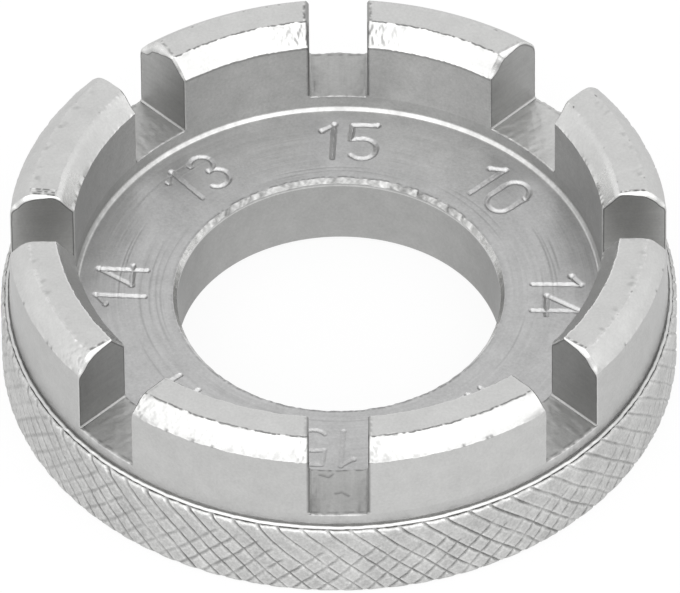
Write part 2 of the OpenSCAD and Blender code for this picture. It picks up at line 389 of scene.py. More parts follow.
def knurled_wall():
    """The rim's outer wall: a closed outline carried round the axis and pressed in by grooves.

    The grooves climb at 45 degrees, one family each way. The grid leans with the family that runs
    the full height: column u stands at arc u minus the height, so each groove lies on a column.
    The other family reaches the top only on the far left, and elsewhere fades out at mid height.
    """
    across = np.array([-0.37, -0.25, -0.165, -0.105, -0.07, -0.035, 0, 0.035, 0.07, 0.105,
                       0.165, 0.25, 0.37, 0.5])
    u = (np.arange(KNURLS)[:, None] + across).ravel()[None, :]
    profile = np.concatenate([
        [[SEAM_R, 0.0], [18.6, 0.0], [18.76, 0.0], [18.83, 0.03], [18.90, 0.09], [18.96, 0.18]],
        pairs(RIM_R, np.linspace(0.28, 4.47, 63)),
        [[18.99, 4.56], [18.97, 4.62], [18.935, 4.675], [18.875, 4.73], [18.82, 4.745],
         [18.80, 4.66], [SEAM_R, 4.66], [SEAM_R, 2.4]],
    ])
    r, z = profile[:, :1], profile[:, 1:]
    nominal = (u * PITCH - z) / RIM_R + FRONT
    angle = nominal - KNURL_WANDER * ripple(nominal, z, 2.5, 3) / RIM_R
    # How far each point belongs to the left, the far left, the front and either side of the ring
    left = toward(np.cos(nominal - radians(LEFT)), 62, 25)
    far_left = toward(np.cos(nominal - radians(FAR_LEFT)), 72, 56)
    front = toward(np.cos(nominal - FRONT), 60, 0)
    sides = toward(np.abs(np.cos(nominal)), 60, 25)
    # How far each point lies off the middle of the nearest groove of each family, in mm
    off_falling, off_rising = (np.abs(v - np.round(v)) * PITCH / sqrt(2)
                               for v in (u + 0 * z, (u * PITCH - 2 * z) / PITCH))
    deep = np.clip(0.92 + 0.20 * ripple(nominal, z, 0.7, 6), 0.35, 1.1)
    falling = groove(off_falling, FALLING_HALF + 0.06 * left) * deep
    reach = RISING_H + HIGHER_LEFT * far_left + 0.3 * ripple(nominal, 0, 1.5, 5)
    kept = smooth_step(reach - z, -0.2, 0.8)
    rising = groove(off_rising, RISING_HALF + 0.02 * left) * kept * deep * (1 - 0.3 * left)
    outer = (r > 18.81) & (z < 4.75)
    pressed = GROOVE_DEPTH * (1 - 0.4 * sides) * np.maximum(falling, rising)
    pads = PAD_ROUGH * np.clip(ripple(nominal, z, 0.35, 7, 3.0), -1.5, 0.5) - PAD_ROUGH / 2
    wear_and_highlight = PAD_WORN * np.clip(ripple(nominal, 0, 0.5, 9, 3.0), 0, 1.5) * (z > 4.5)
    r = np.where(outer, np.maximum(r + pads - pressed - wear_and_highlight, GROOVE_R), r + 0 * angle)
    # The grooves are painted dark, as dirt and painted shade, more at the front and left and less
    # at the sides, and the pads' edges beside them get a painted highlight
    bright = np.maximum(bell(off_falling - 0.17, 0.05), bell(off_rising - 0.18, 0.05) * kept)
    dark = np.maximum(falling, rising) ** 1.5
    # Painted shade in the grooves, stronger at the front and left and weaker at the sides
    painted_light_and_dirt = 0.50 + 0.18 * front + 0.20 * left - 0.15 * sides
    recess = np.where(outer, painted_light_and_dirt * dark - 0.25 * bright * (1 - dark) * (1 - 0.5 * sides), 0)
    ring_piece("knurled_band", r, np.clip(z, 0, RIM_H), angle, [knurled, turned],
               np.arange(len(profile)) < 2, "knurled_rim", "knurled_rim", recess=recess)


def rim_core():
    """The rim inside its knurled wall, with a narrow bevelled bead round the foot of the crown."""
    profile = np.array([
        [BAND_R + CLEAR, 0.0], [17.6, 0.0], [SEAM_R, 0.0], [SEAM_R, 2.4], [SEAM_R, 4.66],
        [18.5, 4.66], [18.745, 4.66], [18.745, 4.775], [18.738, 4.795], [18.715, 4.822],
        [18.69, 4.848], [18.665, 4.873], [18.65, 4.885], [18.60, 4.89], [18.575, 4.84],
        [18.50, 4.82], [18.455, 4.82], [18.45, 4.899], [17.6, 4.899], [BAND_R + CLEAR, 4.899],
        [BAND_R + CLEAR, 3.3], [BAND_R + CLEAR, 1.6]])
    r, z = profile[:, :1], profile[:, 1:]
    bead = (r > 18.56) & (r < 18.77) & (z > 4.7)
    wavy = np.clip(ripple(EVEN, 0, 0.5, 8, 5.0), -1.3, 1.3)
    r = r + BEAD_WANDER * wavy * bead
    z = z - BEAD_DIP * np.abs(wavy) * bead
    # The joint with the knurled wall is dark, and the hollow between bead and crown is painted a
    # little less dark as painted shade
    row = np.arange(len(profile))
    painted_light_and_dirt = np.isin(row, [5, 6]) + 0.55 * np.isin(row, [14, 15, 16])
    ring_piece("rim_core", r, np.clip(z, 0, RIM_H), EVEN, [satin, turned], row < 2,
               "knurled_rim", "knurled_rim", recess=painted_light_and_dirt[:, None] + 0 * EVEN)


# The crown's base, whose top is the floor of the slots

# Dents in the front slot's floor, each a path of points: mm along the slot and mm across it
DENTED_SLOT, DENTS = 4, [[(15.31, -1.08), (15.5, -0.56), (15.27, -0.34)],
                         [(16.78, -0.18), (16.68, 0.17), (16.96, 0.56)]]
DENT_HALF, DENT_DEPTH, FLOOR_UNEVEN = 0.12, 0.05, 0.012
# How much brighter the floors of slots 1 and 7 are painted, as a negative recess: painted light
FLOOR_PAINTED_LIGHT = np.array([0, 0.4, 0, 0, 0, 0, 0, 0.12])
# The slots whose floor gets a ragged line of painted shade along its edge over the gauge face
RAGGED_SLOTS = (3, 4, 5)
# How both edges of the floor are worn off: radius, way inwards, size, unevenness and seed
FLOOR_EDGES = ((CROWN_R, -1, 0.14, 0.35, 11), (WALL_R, 1, 0.12, 0.15, 12))


def spread_columns(middles, reaches, fine, coarse):
    """Angles once round the ring: fine degrees apart within reach of the middles, else coarse."""
    probe = np.linspace(0, TURN, 20001)
    away = np.abs((probe[:, None] - middles + pi) % TURN - pi)
    density = np.where((away < reaches).any(1), 1 / radians(fine), 1 / radians(coarse))
    total = np.append(0, np.cumsum((density[1:] + density[:-1]) / 2 * np.diff(probe)))
    count = int(round(total[-1]))
    return np.interp(np.arange(count) / count * total[-1], total, probe)


def crown_foot():
    """A closed outline carried round the axis; its top edges are broken only where a slot is."""
    reaches = (WIDTHS / 2 + np.abs(SHIFTS) + 0.3) / WALL_R
    angle = spread_columns(slot_angle(np.arange(8)), reaches, *BASE_COLUMNS)[None, :]
    k, _ = slot_frame(angle, CROWN_R, 0)
    half = WIDTHS[k] / 2

    def in_slot(radius):
        off = radius * np.sin(angle - slot_angle(k)) + SHIFTS[k]
        return smooth_step(half - np.abs(off), 0.0, 0.12)

    steps = np.array([0, 0.04, 0.08, 0.12])
    hollow = np.array([[FACE_R, FACE_Z]]) + [
        [0.26, 0.30], [0.259, 0.25], [0.253, 0.215], [0.238, 0.185], [0.195, 0.135],
        [0.15, 0.085], [0.115, 0.045], [0.09, 0.02], [0.06, 0.005], [0.0, 0.0]]
    profile = np.concatenate([
        [[FACE_R + CLEAR, 0.0], [15.8, 0.0], [BAND_R, 0.0], [BAND_R, 2.4], [BAND_R, RIM_H],
         [17.7, RIM_H], [CROWN_R - 0.05, RIM_H], [CROWN_R, RIM_H + 0.04], [CROWN_R, 5.2]],
        pairs(CROWN_R, FLOOR_Z - np.append(0.16, steps[:0:-1])), pairs(CROWN_R - steps, FLOOR_Z),
        pairs(np.linspace(CROWN_R - 0.2, WALL_R + 0.2, 50), FLOOR_Z),
        pairs(WALL_R + steps[::-1], FLOOR_Z), pairs(WALL_R, FLOOR_Z - np.append(steps[1:], 0.2)),
        [[WALL_R, 5.2]], hollow, [[FACE_R + CLEAR, 3.2], [FACE_R + CLEAR, 1.6]],
    ])
    plain_r, plain_z = profile[:, :1], profile[:, 1:]
    r, z = plain_r, plain_z
    # A worn corner is pulled towards the circle inside it
    for radius, inward, size, uneven, seed in FLOOR_EDGES:
        near = (np.abs(r - radius) <= 0.2) & (z > FLOOR_Z - 0.21)
        wear = np.clip(ripple(angle, 0, 0.3, seed, 2.0), -1.5, 1.5)
        wear = size * in_slot(radius) * (1 + uneven * wear)
        x_in = np.minimum(np.clip((r - radius) * inward, 0, None), wear)
        y_in = np.minimum(FLOOR_Z - z, wear)
        gap = np.hypot(wear - x_in, wear - y_in)
        pull = np.where((gap > wear) & (wear > 1e-6), 1 - wear / np.maximum(gap, 1e-9), 0)
        r, z = (np.where(near, r + inward * (wear - x_in) * pull, r + 0 * angle),
                np.where(near, z - (wear - y_in) * pull, z + 0 * angle))
    on_floor = (plain_r < CROWN_R - 0.02) & (plain_r > WALL_R + 0.02) & (plain_z > 5.6)
    uneven = FLOOR_UNEVEN * (1 + np.clip(ripple(angle, r, 0.5, 13, 4.0), -1, 1))
    z = z - uneven * on_floor * in_slot(MIDDLE_R)
    _, place = slot_frame(angle, r, z)
    dents = dip(stroke_distance(place[..., 0], place[..., 1], DENTS), DENT_HALF)
    dents = dents * (k == DENTED_SLOT) * on_floor
    z = z - DENT_DEPTH * dents
    # Painted shade: dark rows in the front slot's corners, beside each floor's outer edge, and
    # along the inner edge of the front slots, and the front slot's dents are painted dark too
    corner = dip(np.abs(place[..., 1]) - half + 0.04, 0.09) * (k == DENTED_SLOT) * on_floor
    ragged = np.clip(0.6 + 0.6 * ripple(angle, 0, 0.35, 14, 1.5), 0, 1)
    lip = dip(plain_r - (CROWN_R - 0.22), 0.10) * ragged * in_slot(CROWN_R)
    brink = dip(plain_r - (WALL_R + 0.10), 0.11) * ragged[:, ::-1] * np.isin(k, RAGGED_SLOTS)
    recess = np.max([0.45 * dents, 0.7 * corner, 0.55 * lip, 0.65 * brink], axis=0)
    # Painted light: the floors of slots 1 and 7 are painted brighter
    recess = recess * (plain_z > FLOOR_Z - 0.05) - FLOOR_PAINTED_LIGHT[k] * on_floor
    # The fillet at the face's foot is a shade duller than the lugs' tops, and uneven
    dull = 0.13 + 0.06 * ripple(angle, 0, 0.4, 15, 6.0)
    recess = recess + dull * ((plain_r < WALL_R - 0.001) & (plain_z > FACE_Z - 0.001))
    row_r, row_z = profile.T
    is_floor = np.minimum(row_z, np.roll(row_z, -1)) > FLOOR_Z - 0.01
    in_bore = (row_r < WALL_R + 0.01) & (row_z > FACE_Z + 0.29)
    is_wall = (row_r > CROWN_R - 0.06) & (row_z < FLOOR_Z - 0.01) & (row_z > RIM_H - 0.01)
    finish = np.select([is_wall, is_floor, in_bore, np.arange(len(profile)) < 2], [4, 2, 3, 1], 0)
    ring_piece("crown_foot", r, np.minimum(z, FLOOR_Z), angle,
               [satin, turned, milled, bored, drawn_and_shaded], finish, "crown_base", "crown", place, recess)


# The gauge face with its engraved numbers, and the hole

NUMBER_H, STROKE, STROKE_DEPTH, NUMBER_GAP = 3.08, 0.36, 0.13, 1.13
DOT_R, DOT_DEPTH = 0.23, 0.175
# How far to each side of its middle a number can reach, and for how far the face's columns stand
# close there, in degrees
NUMBER_REACH, CLOSE_REACH = 16, 8.6
# The number at the front is hardly struck at all
FAINT_NUMBER, FAINT_SHARE = 4, 0.74
PATH_H = NUMBER_H - STROKE
DIGIT_W, FLAG_W, DIGIT_GAP = 0.57 * PATH_H, 0.25 * PATH_H, 0.33 * PATH_H


def arc(x, y, radius, start, end):
    """Points of an arc round (x, y), between two angles in degrees."""
    a = np.radians(np.linspace(start, end, 15))
    return np.stack([x + radius * np.cos(a), y + radius * np.sin(a)], -1)


def digit_paths(digit):
    """The strokes of a digit as paths, in shares of the height between their outermost middles."""
    w, bowl = 0.57, 0.285
    paths = {
        0: [np.concatenate([arc(bowl, 1 - bowl, bowl, 0, 180), arc(bowl, bowl, bowl, 180, 360),
                            [[w, 1 - bowl]]])],
        1: [[[0, 0.8], [0.25, 1]], [[0.25, 1], [0.25, 0]]],
        2: [np.concatenate([arc(bowl, 1 - bowl, bowl, 170, -40), [[0, 0]]]), [[0, 0], [w, 0]]],
        3: [arc(bowl, 0.76, 0.24, 150, -90), arc(bowl, 0.26, 0.26, 90, -150)],
        4: [[[0.44, 1], [0, 0.3]], [[0, 0.3], [w, 0.3]], [[0.44, 1], [0.44, 0]]],
        5: [np.concatenate([[[w, 1], [0.06, 1], [0.03, 0.57]], arc(0.28, 0.3, 0.3, 105, -140)])],
    }
    return [np.asarray(path, float) * PATH_H for path in paths[digit]]


def stroke_distance(x, y, paths):
    """How far each point lies from the nearest of the paths' straight lengths."""
    nearest = np.full(x.shape, 9.0)
    for path in paths:
        for (ax, ay), (bx, by) in zip(path[:-1], path[1:]):
            length = hypot(bx - ax, by - ay)
            ux, uy = (bx - ax) / length, (by - ay) / length
            along = np.clip((x - ax) * ux + (y - ay) * uy, 0, length)
            nearest = np.minimum(nearest, np.hypot(x - ax - ux * along, y - ay - uy * along))
    return nearest


def number_relief(angle, r):
    """How deep the face is engraved: soft-sided strokes, each begun with a deeper dot.

    Across a stroke the depth grows evenly from its sides and levels off a little in its middle.
    """
    relief = np.zeros(angle.shape)
    bottom = WALL_R - NUMBER_GAP - STROKE / 2 - PATH_H
    for k, (gauge, _, _, lead) in enumerate(SLOTS):
        tens, ones = divmod(gauge, 10)
        ones_x = (FLAG_W if tens == 1 else DIGIT_W) + DIGIT_GAP
        width = ones_x + (FLAG_W if ones == 1 else DIGIT_W)
        paths = [p - [width / 2, 0] for p in digit_paths(tens)]
        paths += [p + [ones_x - width / 2, 0] for p in digit_paths(ones)]
        off = slot_angle(k) - radians(lead) - angle
        off = (off + pi) % TURN - pi
        near = np.abs(off) < radians(NUMBER_REACH)
        x, y = r[near] * np.sin(off[near]), r[near] * np.cos(off[near]) - bottom
        away = stroke_distance(x, y, paths)
        dots = np.min([np.hypot(x - p[0][0], y - p[0][1]) for p in paths], axis=0)
        deep = np.maximum(*(depth * t * (1.25 - 0.25 * t) for depth, t in (
            (STROKE_DEPTH, np.clip(1 - away / (STROKE / 2), 0, 1)),
            (DOT_DEPTH, np.clip(1 - dots / DOT_R, 0, 1)))))
        relief[near] = deep * (FAINT_SHARE if k == FAINT_NUMBER else 1)
    return relief


# How wide and how tall the hole's upper bevel is, and where the hole's edge meets the face
BEVEL_W, BEVEL_H, EDGE_R = 0.22, 0.26, 9.5
# How far the bevel's width and height stray, in mm, and where and over how much the cutter
# chipped it most, in degrees
STRAY, CHIPPED_AT, CHIPPED_OVER = 0.03, 60, 17
# How deep the bevel is torn, and how uneven the face is, in mm
TORN, FACE_UNEVEN = 0.004, 0.004
# Scratches that the turning tool left in the face: radius in mm, first and last angle in degrees
TOOL_MARKS = [
    (12.05, -9, 31), (12.28, -5, 27), (12.6, 6, 22), (11.5, -12, 12), (10.15, 18, 64),
    (10.45, 24, 58), (9.85, 60, 128), (10.2, 76, 112), (10.0, 140, 205), (10.3, 148, 212),
    (10.7, 152, 196), (11.15, 160, 214), (12.2, 148, 176), (12.45, 154, 186), (13.5, 122, 152),
    (11.8, 196, 226), (10.1, 232, 300), (10.6, 322, 352),
]
MARK_HALF, MARK_DEPTH = 0.07, 0.014


def tool_marks(angle, r):
    """Shares of a scratch's depth: narrow Vs along arcs that fade out at both ends."""
    total = 0 * r
    for k, (radius, first, last) in enumerate(TOOL_MARKS):
        middle, half = radians((first + last) / 2), radians((last - first) / 2)
        off = np.abs((angle - middle + pi) % TURN - pi)
        wander = 0.05 * np.sin(5 * angle + 2.1 * k)
        mark = dip(r - radius - wander, MARK_HALF) * smooth_step(half - off, 0, half * 0.6)
        total = np.maximum(total, mark)
    return total


def hole_edge():
    """The hole's wall with its bevels: a closed outline carried round the axis.

    The upper bevel is uneven, most of all at the back right where the cutter chipped it. To the
    left and to the right it is less chipped and torn. Its colour is painted light: the bevel is
    painted bright to the left and right and dark at the front and back, the back of the wall is
    painted lighter than the rest, and a ragged ring of painted shade runs round the face beside
    the bevel, fainter to the sides.
    """
    # 1 to the left and right, where the bevel is less chipped and painted bright as painted light
    painted_light_and_wear = toward(np.abs(np.cos(EVEN)), 48, 22)
    wall_z = np.append(np.linspace(0.3, 4.0, 7), 4.2)
    bevel = np.array([0.0, 0.08, 0.2, 0.35, 0.5, 0.65, 0.8, 0.92, 1.0])
    beside = np.array([0.015, 0.04, 0.065, 0.09])
    below = [[EDGE_R, 0.0], [HOLE_R + 0.2, 0.0], [HOLE_R + 0.1, 0.09], [HOLE_R + 0.01, 0.2]]
    profile = np.concatenate([
        below, pairs(HOLE_R, wall_z),
        pairs(HOLE_R + BEVEL_W * bevel, FACE_Z - BEVEL_H * (1 - bevel)),
        pairs(HOLE_R + BEVEL_W + beside, FACE_Z), [[EDGE_R, FACE_Z], [EDGE_R, 3.0], [EDGE_R, 1.5]],
    ])
    r, z = profile[:, :1] + 0 * EVEN, profile[:, 1:] + 0 * EVEN
    first = len(below) + len(wall_z)
    last = first + len(bevel)
    chipped = bell(EVEN - radians(CHIPPED_AT), radians(CHIPPED_OVER))
    chipped = STRAY * (0.6 + 0.7 * chipped) * (1 - 0.8 * painted_light_and_wear)
    wide = np.clip(ripple(EVEN, 0, 0.7, 21, 7.0), -1.6, 1.8) * chipped
    tall = np.clip(ripple(EVEN, 0, 0.9, 23, 7.0), -1.6, 2.2) * chipped
    r[first:last + len(beside)] += wide * np.append(bevel, np.ones(len(beside)))[:, None]
    z[first:last] -= tall * (1 - bevel[:, None])
    inside = slice(first + 1, last - 1)
    torn = ripple(EVEN + 0 * r[inside], 5.0 * z[inside], 0.45, 24, 2.4)
    z[inside] -= TORN * np.clip(torn, 0, 2) * (1 - 0.8 * painted_light_and_wear)
    recess = 0 * r
    # Painted light: the back of the wall is painted lighter than the rest
    recess[len(below) - 1:first] = 0.10 - 0.21 * smooth_step(np.sin(EVEN), 0.3, 0.9)
    # Painted light: the bevel is painted bright to the left and right and dark at the front and
    # back
    recess[first:last] = 0.50 - 0.96 * painted_light_and_wear + 0.06 * ripple(EVEN, 0, 1.0, 26, 9.0)
    recess[inside] += 0.11 * np.clip(torn, -2, 2) * (1 - 0.8 * painted_light_and_wear)
    # Painted shade: a ragged dark ring on the face beside the bevel, fainter to the sides
    ragged = np.clip(0.75 + 0.5 * ripple(EVEN, 0, 0.5, 25, 4.0), 0, 1) * (1 - 0.65 * painted_light_and_wear)
    recess[last:last + len(beside)] = np.array([0.0, 0.6, 0.7, 0.4])[:, None] * ragged
    finish = np.zeros(len(profile), int)
    finish[1:first - 1] = 1
    finish[first - 1:last - 1] = 2
    ring_piece("hole_edge", r, np.clip(z, 0, FACE_Z), EVEN, [turned, reamed, satin], finish,
               "gauge_ring", "gauge_face", recess=recess)


def gauge_face():
    """A closed outline carried round the axis: the engraved face and the underside."""
    middles = (slot_angle(np.arange(8)) - np.radians(LEADS)) % TURN
    angle = spread_columns(middles, radians(CLOSE_REACH), *FACE_COLUMNS)[None, :]
    face_r = np.concatenate([[EDGE_R, 9.55, 9.62, 9.71], np.arange(9.8, 14.0, 0.052),
                             np.linspace(14.0, FACE_R, 6)])
    profile = np.concatenate([
        [[EDGE_R, 1.5], [EDGE_R, 3.0]], pairs(face_r, FACE_Z),
        [[FACE_R, 3.0], [FACE_R, 1.5], [FACE_R, 0.0], [13.4, 0.0], [12.0, 0.0], [10.6, 0.0],
         [EDGE_R, 0.0]],
    ])
    r, z = profile[:, :1] + 0 * angle, profile[:, 1:] + 0 * angle
    full = angle + 0 * r
    on_face = (z > 4.64) & (r > 9.6) & (r < 14.6)
    marks = tool_marks(full, r) * on_face
    low = number_relief(full, r) + MARK_DEPTH * marks + FACE_UNEVEN * ripple(full, r, 1.5, 22)
    z = np.clip(z - low * on_face, 0, FACE_Z + 0.02)
    ring_piece("gauge_face", r, z, full, [turned], np.zeros(len(profile), int), "gauge_ring",
               "gauge_face", recess=0.24 * marks)


# The lugs

# Each chamfer: how far it reaches into the top and how far down the wall; the outer one bulges
OUTER_IN, OUTER_DOWN, BULGE, INNER_IN, INNER_DOWN = 1.03, 1.05, 0.07, 0.97, 1.15
TOP_OUT, TOP_IN = CROWN_R - OUTER_IN, WALL_R + INNER_IN
HALF_W, HEIGHT = (CROWN_R - WALL_R) / 2, TOP_Z - FLOOR_Z
MIDDLE_Z = FLOOR_Z + HEIGHT / 2
# How far the ends are bevelled down the walls, and how wide the scored strip behind the bevel is
EDGE_WALL, SCORED = 0.06, 0.56
# How far apart the outline's points stand, in mm, and how many steps the outer chamfer has
OUTLINE_STEP, CHAMFER_STEPS = 0.1, 28
# The end faces have the lug's outline averaged over this far to each side, so they are round
END_SOFT = 0.42
# The foot of an end face runs out into a hollow this deep and this high
RUN_OUT, RUN_OUT_H = 0.11, 0.12
# For each lug's first and last end: how wide its top is bevelled at the inner and at the outer
# corner, and how much the cutter scored it
ENDS = [((0.10, 0.10, 0.5), (0.26, 0.10, 0.2)), ((0.12, 0.12, 0.0), (0.08, 0.20, 1.0)),
        ((0.12, 0.12, 0.1), (0.07, 0.22, 0.7)), ((0.12, 0.12, 0.0), (0.07, 0.07, 0.2)),
        ((0.07, 0.07, 0.2), (0.12, 0.12, 0.2)), ((0.07, 0.22, 0.8), (0.12, 0.12, 0.1)),
        ((0.08, 0.20, 1.9), (0.12, 0.12, 0.0)), ((0.12, 0.42, 0.4), (0.15, 0.15, 0.6))]
# The slots whose edges stayed sharp; beside the others the lugs' long corners round off, by this
# share of the rounded outline and over this many mm
SHARP_SLOTS, ROUNDED, ROUNDED_OVER = (0, 4), 0.75, 0.8
# The slots beside which the cutter pitted the chamfers, and those beside which the end walls
# are painted brighter as painted light
PITTED_SLOTS, BRIGHT_END_SLOTS = (0, 4, 5), (2, 6)
# How far the pits reach from the slot in the inner and outer chamfer, in mm, and the lug whose
# chamfers have some all the way along
PITS_INNER, PITS_OUTER, PITTED_LUG = 2.2, 1.5, 4
# How much brighter each lug's inner, and outer, wall is painted than the others', as a negative
# recess: painted light
INSIDE_SHINE, OUTSIDE_SHINE = (0.13, 0.07, 0, 0, 0, 0, 0.14, 0), (0, 0, 0, 0.075, 0.02, 0, 0, 0)
# The lugs whose long upper edges get the strongest painted highlight
HIGHLIT_LUGS = (2, 5)
# The lugs whose inner chamfer goes over into the top with no clear edge, and which of their ends,
# beside the left and the right slot, gets a painted highlight there
ROUND_INSIDE = {1: 1, 6: 0}
# The lugs whose upper edge is scored by the cutter beside the outer, and the inner, chamfer
SCORED_OUTSIDE, SCORED_INSIDE = (3, 4), (0, 7)
SCORE_DEPTH, PIT_DEPTH = 0.04, 0.012
# How far behind the bevel the cutter's lines lie, and half their widths, in mm
FIRST_LINE, MORE_LINES, FIRST_HALF, MORE_HALF = 0.11, (0.30, 0.47), 0.11, 0.08
# How many nicks a lug has, how deep, long and high each one is, in mm, and about how long a lug is
NICKS, NICK_DEPTH, NICK_LONG, NICK_HIGH, LUG_LONG = 3, 0.05, 0.09, 0.07, 11.0


def lug_outline():
    """The outline across a lug, from its inner foot round by the outer wall.

    Returned are its points, the same points rounded off, and how far along it each one lies. A
    rounded point is the mean of the outline over END_SOFT to each side.
    """
    beside = np.array([0.02, 0.04, 0.06, 0.08, 0.10, 0.14, 0.20])
    foot = FLOOR_Z + np.array([0.02, 0.05, 0.09, 0.14])
    below_top = np.array([0.04, 0.08, 0.12])[:, None] * [[-0.645, -0.764]]
    shape = stepped(np.concatenate([
        [[WALL_R, FLOOR_Z], [CROWN_R, FLOOR_Z]], pairs(CROWN_R, foot),
        [[CROWN_R, TOP_Z - OUTER_DOWN]],
        bow([CROWN_R, TOP_Z - OUTER_DOWN], [TOP_OUT, TOP_Z], BULGE, CHAMFER_STEPS),
        [[TOP_OUT, TOP_Z]],
        pairs(TOP_OUT - beside, TOP_Z), pairs(TOP_IN + beside, TOP_Z)[::-1], [[TOP_IN, TOP_Z]],
        below_top + [[TOP_IN, TOP_Z]], [[WALL_R, TOP_Z - INNER_DOWN]], pairs(WALL_R, foot)[::-1],
    ]), OUTLINE_STEP)
    walked = np.append(0, np.cumsum(np.linalg.norm(np.diff(shape, axis=0), axis=1)))
    total = walked[-1] + np.linalg.norm(shape[0] - shape[-1])
    loop, loop_at = np.concatenate([shape, shape[:1]]), np.append(walked, total)
    soft = np.mean([[np.interp((walked + o) % total, loop_at, loop[:, i]) for i in (0, 1)]
                    for o in np.linspace(-END_SOFT, END_SOFT, 15)], axis=0).T
    return shape, soft, walked


SHAPE, SOFT, WALKED = lug_outline()
ACROSS, UP = SHAPE.T
# Where along the outline the outer and the inner chamfer meet the top
AT_OUT, AT_IN = (WALKED[np.argmin(np.hypot(ACROSS - x, UP - TOP_Z))] for x in (TOP_OUT, TOP_IN))

# Stations along a lug: the outline grows on the end face, then come two on the bevel, a strip of
# close ones and the middle, and all again at the other end
CAP = np.array([0.15, 0.35, 0.55, 0.75, 0.9, 0.955, 0.97, 0.985, 1.0])
STRIP = np.linspace(0, SCORED, 17)[1:]
LEAD, MIDDLE = len(CAP) + 2 + len(STRIP), 112


def stations():
    """Per station, as columns: the outline's size, the way along the lug, and for its first and
    last end the share of the bevel and the distance behind it."""
    size = np.concatenate([CAP, np.ones(LEAD - len(CAP))])
    bevel = np.concatenate([0 * CAP, [0.5], np.ones(len(STRIP) + 1 + MIDDLE + LEAD)])[:, None]
    beyond = np.concatenate([0 * CAP, [0, 0], STRIP, np.full(MIDDLE + LEAD, SCORED)])[:, None]
    way = np.concatenate([np.zeros(LEAD), (np.arange(MIDDLE) + 1) / (MIDDLE + 1), np.ones(LEAD)])
    size = np.concatenate([size, np.ones(MIDDLE), size[::-1]])
    return size[:, None], way[:, None], (bevel, bevel[::-1]), (beyond, beyond[::-1])


SIZE, WAY, BEVELS, BEYONDS = stations()
# How far the outline has gone out along the bevels, and whether a station lies behind them
FULL = np.minimum(*BEVELS)
OPEN = FULL > 0.99

# How each long corner wanders: by how much in mm, the seed of its wave, and where it lies. The
# chamfers' lower corners go up and down, their upper ones in and out
CORNERS = [(0.022, 33, FULL * bell(UP - TOP_Z + OUTER_DOWN, 0.1) * (ACROSS > MIDDLE_R)),
           (0.02, 34, FULL * bell(UP - TOP_Z + INNER_DOWN, 0.1) * (ACROSS < MIDDLE_R)),
           (0.02, 35, FULL * bell(ACROSS - TOP_OUT, 0.1) * (UP > TOP_Z - 0.12)),
           (0.02, 36, FULL * bell(ACROSS - TOP_IN, 0.1) * (UP > TOP_Z - 0.12))]


def lug_faces():
    """The quads of a lug, the fans from its two poles, and each face's finish by where it lies."""
    rows, columns = len(SIZE), len(SHAPE)
    j, count = np.arange(columns), rows * columns
    after = (j + 1) % columns
    fans = np.concatenate([np.column_stack([0 * j + count, after, j]),
                           np.column_stack([0 * j + count + 1, count - columns + j,
                                            count - columns + after])])
    side = np.where(np.maximum(ACROSS, ACROSS[after]) < WALL_R + 0.01, 2, 0)
    side = np.where(np.minimum(ACROSS, ACROSS[after]) > CROWN_R - 0.01, 3, side)
    row = np.arange(rows - 1)[:, None]
    finish_of = np.where((row < len(CAP) - 1) | (row >= rows - len(CAP)), 1, side)
    return grid_faces(rows, columns, False), fans, np.append(finish_of, np.ones(len(fans), int))


LUG_FACES = lug_faces()


def end_angles(k, r, gaps=(0, 0)):
    """Where lug k begins and finishes at radius r: the angles that far, in mm, off its slots."""
    after = (k + 1) % 8
    return (slot_angle(k) - np.arcsin((WIDTHS[k] / 2 + SHIFTS[k] + gaps[0]) / r),
            slot_angle(k + 1) + np.arcsin((WIDTHS[after] / 2 - SHIFTS[after] + gaps[1]) / r))


